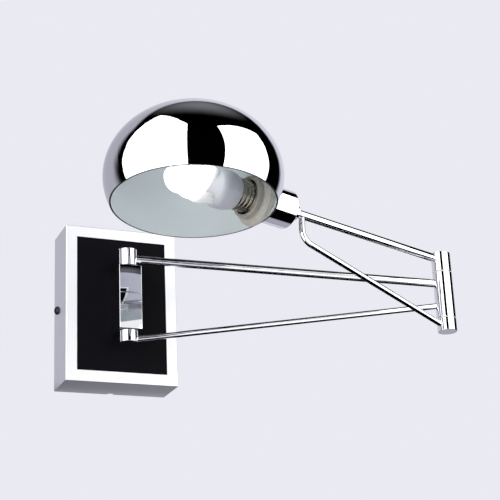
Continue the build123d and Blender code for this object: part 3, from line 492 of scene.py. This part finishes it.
# Black cloth hung in a wide bay round the lens, by bearings from straight ahead of the wall
clothLook = {"radius": 2.4, "top": 2.6, "from": -142.0, "to": 122.0, "steps": 48, "colour": "#07070a"}
clothPoints = []
clothSpan = clothLook["to"] - clothLook["from"]
for step in range(clothLook["steps"] + 1):
    angle = math.radians(clothLook["from"] + clothSpan * step / clothLook["steps"])
    foot = shadeCentre + Vector((math.sin(angle), -math.cos(angle), 0)) * clothLook["radius"]
    clothPoints += [(foot.x, foot.y, floorLook["height"]), (foot.x, foot.y, clothLook["top"])]
clothFaces = [(2 * s, 2 * s + 2, 2 * s + 3, 2 * s + 1) for s in range(clothLook["steps"])]
cloth = stageMesh("blackCloth", clothPoints, clothFaces, plainFinish("BlackCloth", clothLook["colour"]))
cloth.visible_camera = False

# The cloth overhead, with a faint round patch of light that greys the top of the dome
overheadLook = {
    "patch": (0.50, 0.39), "patchCore": 0.1, "patchReach": 1.5, "glow": 0.22, "colour": "#f4f4fa",
}


def patchedCloth(look):
    material, tree = startFinish("OverheadCloth")
    away = addNode(
        tree, "ShaderNodeVectorMath", {0: ownPlace(tree), 1: (*look["patch"], clothLook["top"])},
        operation="DISTANCE",
    )
    glow = addNode(
        tree, "ShaderNodeMapRange",
        {"Value": away.outputs["Value"], "From Min": look["patchCore"], "From Max": look["patchReach"],
         "To Min": look["glow"], "To Max": 0.0},
        interpolation_type="SMOOTHSTEP",
    )
    endFinish(tree, addNode(
        tree, "ShaderNodeEmission", {"Color": toLinear(look["colour"]), "Strength": glow.outputs["Result"]}
    ))
    return material


overheadCorners = [
    tuple(spot + side * clothLook["radius"] for spot in shadeCentre.xy) for side in (-1, 1)
]
ceiling = stageSheet(
    "overheadCloth", levelSheet(*overheadCorners, clothLook["top"]), patchedCloth(overheadLook)
)
ceiling.visible_camera = False


def mirroredOnly(piece):
    piece.visible_camera = False
    piece.visible_diffuse = False
    piece.visible_shadow = False
    piece.visible_transmission = False


# A lit surface that hides nothing behind it, for those that do not take its light
def veil(tree, light):
    clear = addNode(tree, "ShaderNodeBsdfTransparent", {})
    return addNode(tree, "ShaderNodeAddShader", {0: clear.outputs[0], 1: light.outputs[0]})


def lightOnly(piece, names):
    receivers = bpy.data.collections.new(piece.name + "Receivers")
    for name in names:
        receivers.objects.link(nodes[name])
    piece.light_linking.receiver_collection = receivers


# The mounting board's glow is painted: it fades out towards its edges, is paler on the right and carries a
# painted shadow of the box below. The arm's long members do not mirror it
board = {
    "from": (-0.40, -0.50), "to": (0.68, 0.62), "fadeFrom": (0.16, 0.16), "fadeTo": (0.26, 0.16),
    "gap": 0.001, "backingGap": 0.003, "colour": "#e8e8f4",
    "leftGlow": 0.60, "rightGlow": 0.90, "turnFrom": -0.15, "turnTo": 0.15,
    "shadow": 0.36, "shadowFrom": -0.078, "shadowTo": -0.058,
    "shadowBeside": 0.62, "shadowThins": 0.10, "shadowEnds": 0.18,
    "unlit": ("first_tube", "first_rod", "second_tube", "brace_rod"),
}


def paleBoard(look):
    material, tree = startFinish("MountingBoard")
    split = addNode(tree, "ShaderNodeSeparateXYZ", {"Vector": ownPlace(tree)})
    glow = addNode(
        tree, "ShaderNodeMapRange",
        {"Value": split.outputs["X"], "From Min": look["turnFrom"], "From Max": look["turnTo"],
         "To Min": look["leftGlow"], "To Max": look["rightGlow"]},
        interpolation_type="SMOOTHSTEP",
    ).outputs["Result"]
    beside = addNode(
        tree, "ShaderNodeMapRange",
        {"Value": split.outputs["X"], "From Min": look["shadowThins"], "From Max": look["shadowEnds"],
         "To Min": look["shadow"], "To Max": look["shadowBeside"]},
        interpolation_type="SMOOTHSTEP",
    )
    # painted shadow of the box on the board, weaker beside it
    under = addNode(
        tree, "ShaderNodeMapRange",
        {"Value": split.outputs["Z"], "From Min": look["shadowFrom"], "From Max": look["shadowTo"],
         "To Min": beside.outputs["Result"], "To Max": 1.0},
        interpolation_type="SMOOTHSTEP",
    )
    dimmers = [under]
    for axis, way in (("X", 0), ("Z", 1)):
        edges = (look["from"][way], look["fadeFrom"][way]), (look["to"][way], -look["fadeTo"][way])
        for edge, width in edges:
            dimmers.append(addNode(
                tree, "ShaderNodeMapRange",
                {"Value": split.outputs[axis], "From Min": edge, "From Max": edge + width,
                 "To Min": 0.0, "To Max": 1.0},
                interpolation_type="SMOOTHSTEP",
            ))
    for dimmer in dimmers:
        glow = addNode(
            tree, "ShaderNodeMath", {0: glow, 1: dimmer.outputs["Result"]}, operation="MULTIPLY"
        ).outputs[0]
    light = addNode(tree, "ShaderNodeEmission", {"Color": toLinear(look["colour"]), "Strength": glow})
    endFinish(tree, veil(tree, light))
    return material


boardFront = stageSheet(
    "mountingBoard", uprightSheet(board["from"], board["to"], board["gap"]), paleBoard(board)
)
mirroredOnly(boardFront)
lightOnly(boardFront, [name for name in nodes if name not in board["unlit"]])
mirroredOnly(stageSheet(
    "boardBacking", uprightSheet(board["from"], board["to"], board["backingGap"]),
    plainFinish("BoardBacking", clothLook["colour"]),
))

# White cards that only some pieces mirror: one before the arm for its two long members, and one
# between the diffusers for the block
litCards = {
    "armCard": {
        "corners": [
            (-0.045, -0.48, -0.305), (0.40, -0.48, -0.52), (0.40, -0.48, 0.43), (-0.045, -0.48, 0.31),
        ],
        "colour": "#ffffff", "glow": 1.1, "lights": ("first_tube", "first_rod"),
    },
    "blockCard": {
        "corners": uprightSheet((-0.30, -0.30), (0.20, 0.30), -0.60),
        "colour": "#ffffff", "glow": 1.1, "lights": ("pivot_block",),
    },
}
for name, look in litCards.items():
    material, tree = startFinish(name)
    light = addNode(
        tree, "ShaderNodeEmission", {"Color": toLinear(look["colour"]), "Strength": look["glow"]}
    )
    endFinish(tree, veil(tree, light))
    card = stageSheet(name, look["corners"], material)
    mirroredOnly(card)
    lightOnly(card, look["lights"])

# What the metal mirrors below: black cloth, with a white card lying in front
underLook = {
    "clothDrop": 0.01, "cardFrom": (-0.75, -1.75), "cardTo": (0.40, -0.42), "cardLift": 0.005,
    "cardColour": "#f2f2f8", "cardGlow": 1.0,
}
mirroredOnly(stageSheet(
    "underCloth", levelSheet(*floorCorners, floorLook["height"] - underLook["clothDrop"]),
    plainFinish("UnderCloth", clothLook["colour"]),
))
mirroredOnly(stageSheet(
    "whiteCard",
    levelSheet(underLook["cardFrom"], underLook["cardTo"], floorLook["height"] + underLook["cardLift"]),
    plainFinish("WhiteCard", underLook["cardColour"], underLook["cardGlow"]),
))

# The room: its pale tone is what the lens and the metal see, and a weaker fill is what lights
roomLook = {"colour": "#eaeaf3", "seen": 1.0, "fill": 0.45}
world = bpy.data.worlds.new("paleRoom")
bpy.context.scene.world = world
world.use_nodes = True
room = world.node_tree
room.nodes.clear()
path = addNode(room, "ShaderNodeLightPath", {})
seen = addNode(
    room, "ShaderNodeMath",
    {0: path.outputs["Is Camera Ray"], 1: path.outputs["Is Glossy Ray"]}, operation="MAXIMUM",
)
seenThrough = addNode(
    room, "ShaderNodeMath",
    {0: seen.outputs[0], 1: path.outputs["Is Transmission Ray"]}, operation="MAXIMUM",
)
roomTone = toLinear(roomLook["colour"])
fill, backdrop = [
    addNode(room, "ShaderNodeBackground", {"Color": roomTone, "Strength": roomLook[share]})
    for share in ("fill", "seen")
]
either = addNode(
    room, "ShaderNodeMixShader",
    {0: seenThrough.outputs[0], 1: fill.outputs[0], 2: backdrop.outputs[0]},
)
addNode(room, "ShaderNodeOutputWorld", {"Surface": either.outputs[0]})
bpy.context.scene.view_settings.view_transform = "Standard"
print("studio:", len(diffusers), "diffusers,", len(litCards), "cards, cloth, board and floor")

# Camera: a lens of about 99 mm from the left and below, as the picture was taken
lens = {
    "focal": 99.197, "sensor": 36.0, "nearest": 0.01, "place": (-0.338369, -1.130190, -0.374331),
    "right": (0.926343, -0.374209, -0.043086), "down": (0.092397, 0.336622, -0.937096),
    "forward": (0.365173, 0.864091, 0.346404),
}
cameraData = bpy.data.cameras.new("lens")
cameraData.sensor_fit = "HORIZONTAL"
cameraData.sensor_width = lens["sensor"]
cameraData.lens = lens["focal"]
cameraData.clip_start = lens["nearest"]
camera = bpy.data.objects.new("lens", cameraData)
bpy.context.scene.collection.objects.link(camera)
turned = Matrix((lens["right"], -Vector(lens["down"]), -Vector(lens["forward"]))).transposed()
camera.matrix_world = Matrix.Translation(lens["place"]) @ turned.to_4x4()
bpy.context.scene.camera = camera
print("camera: in place")
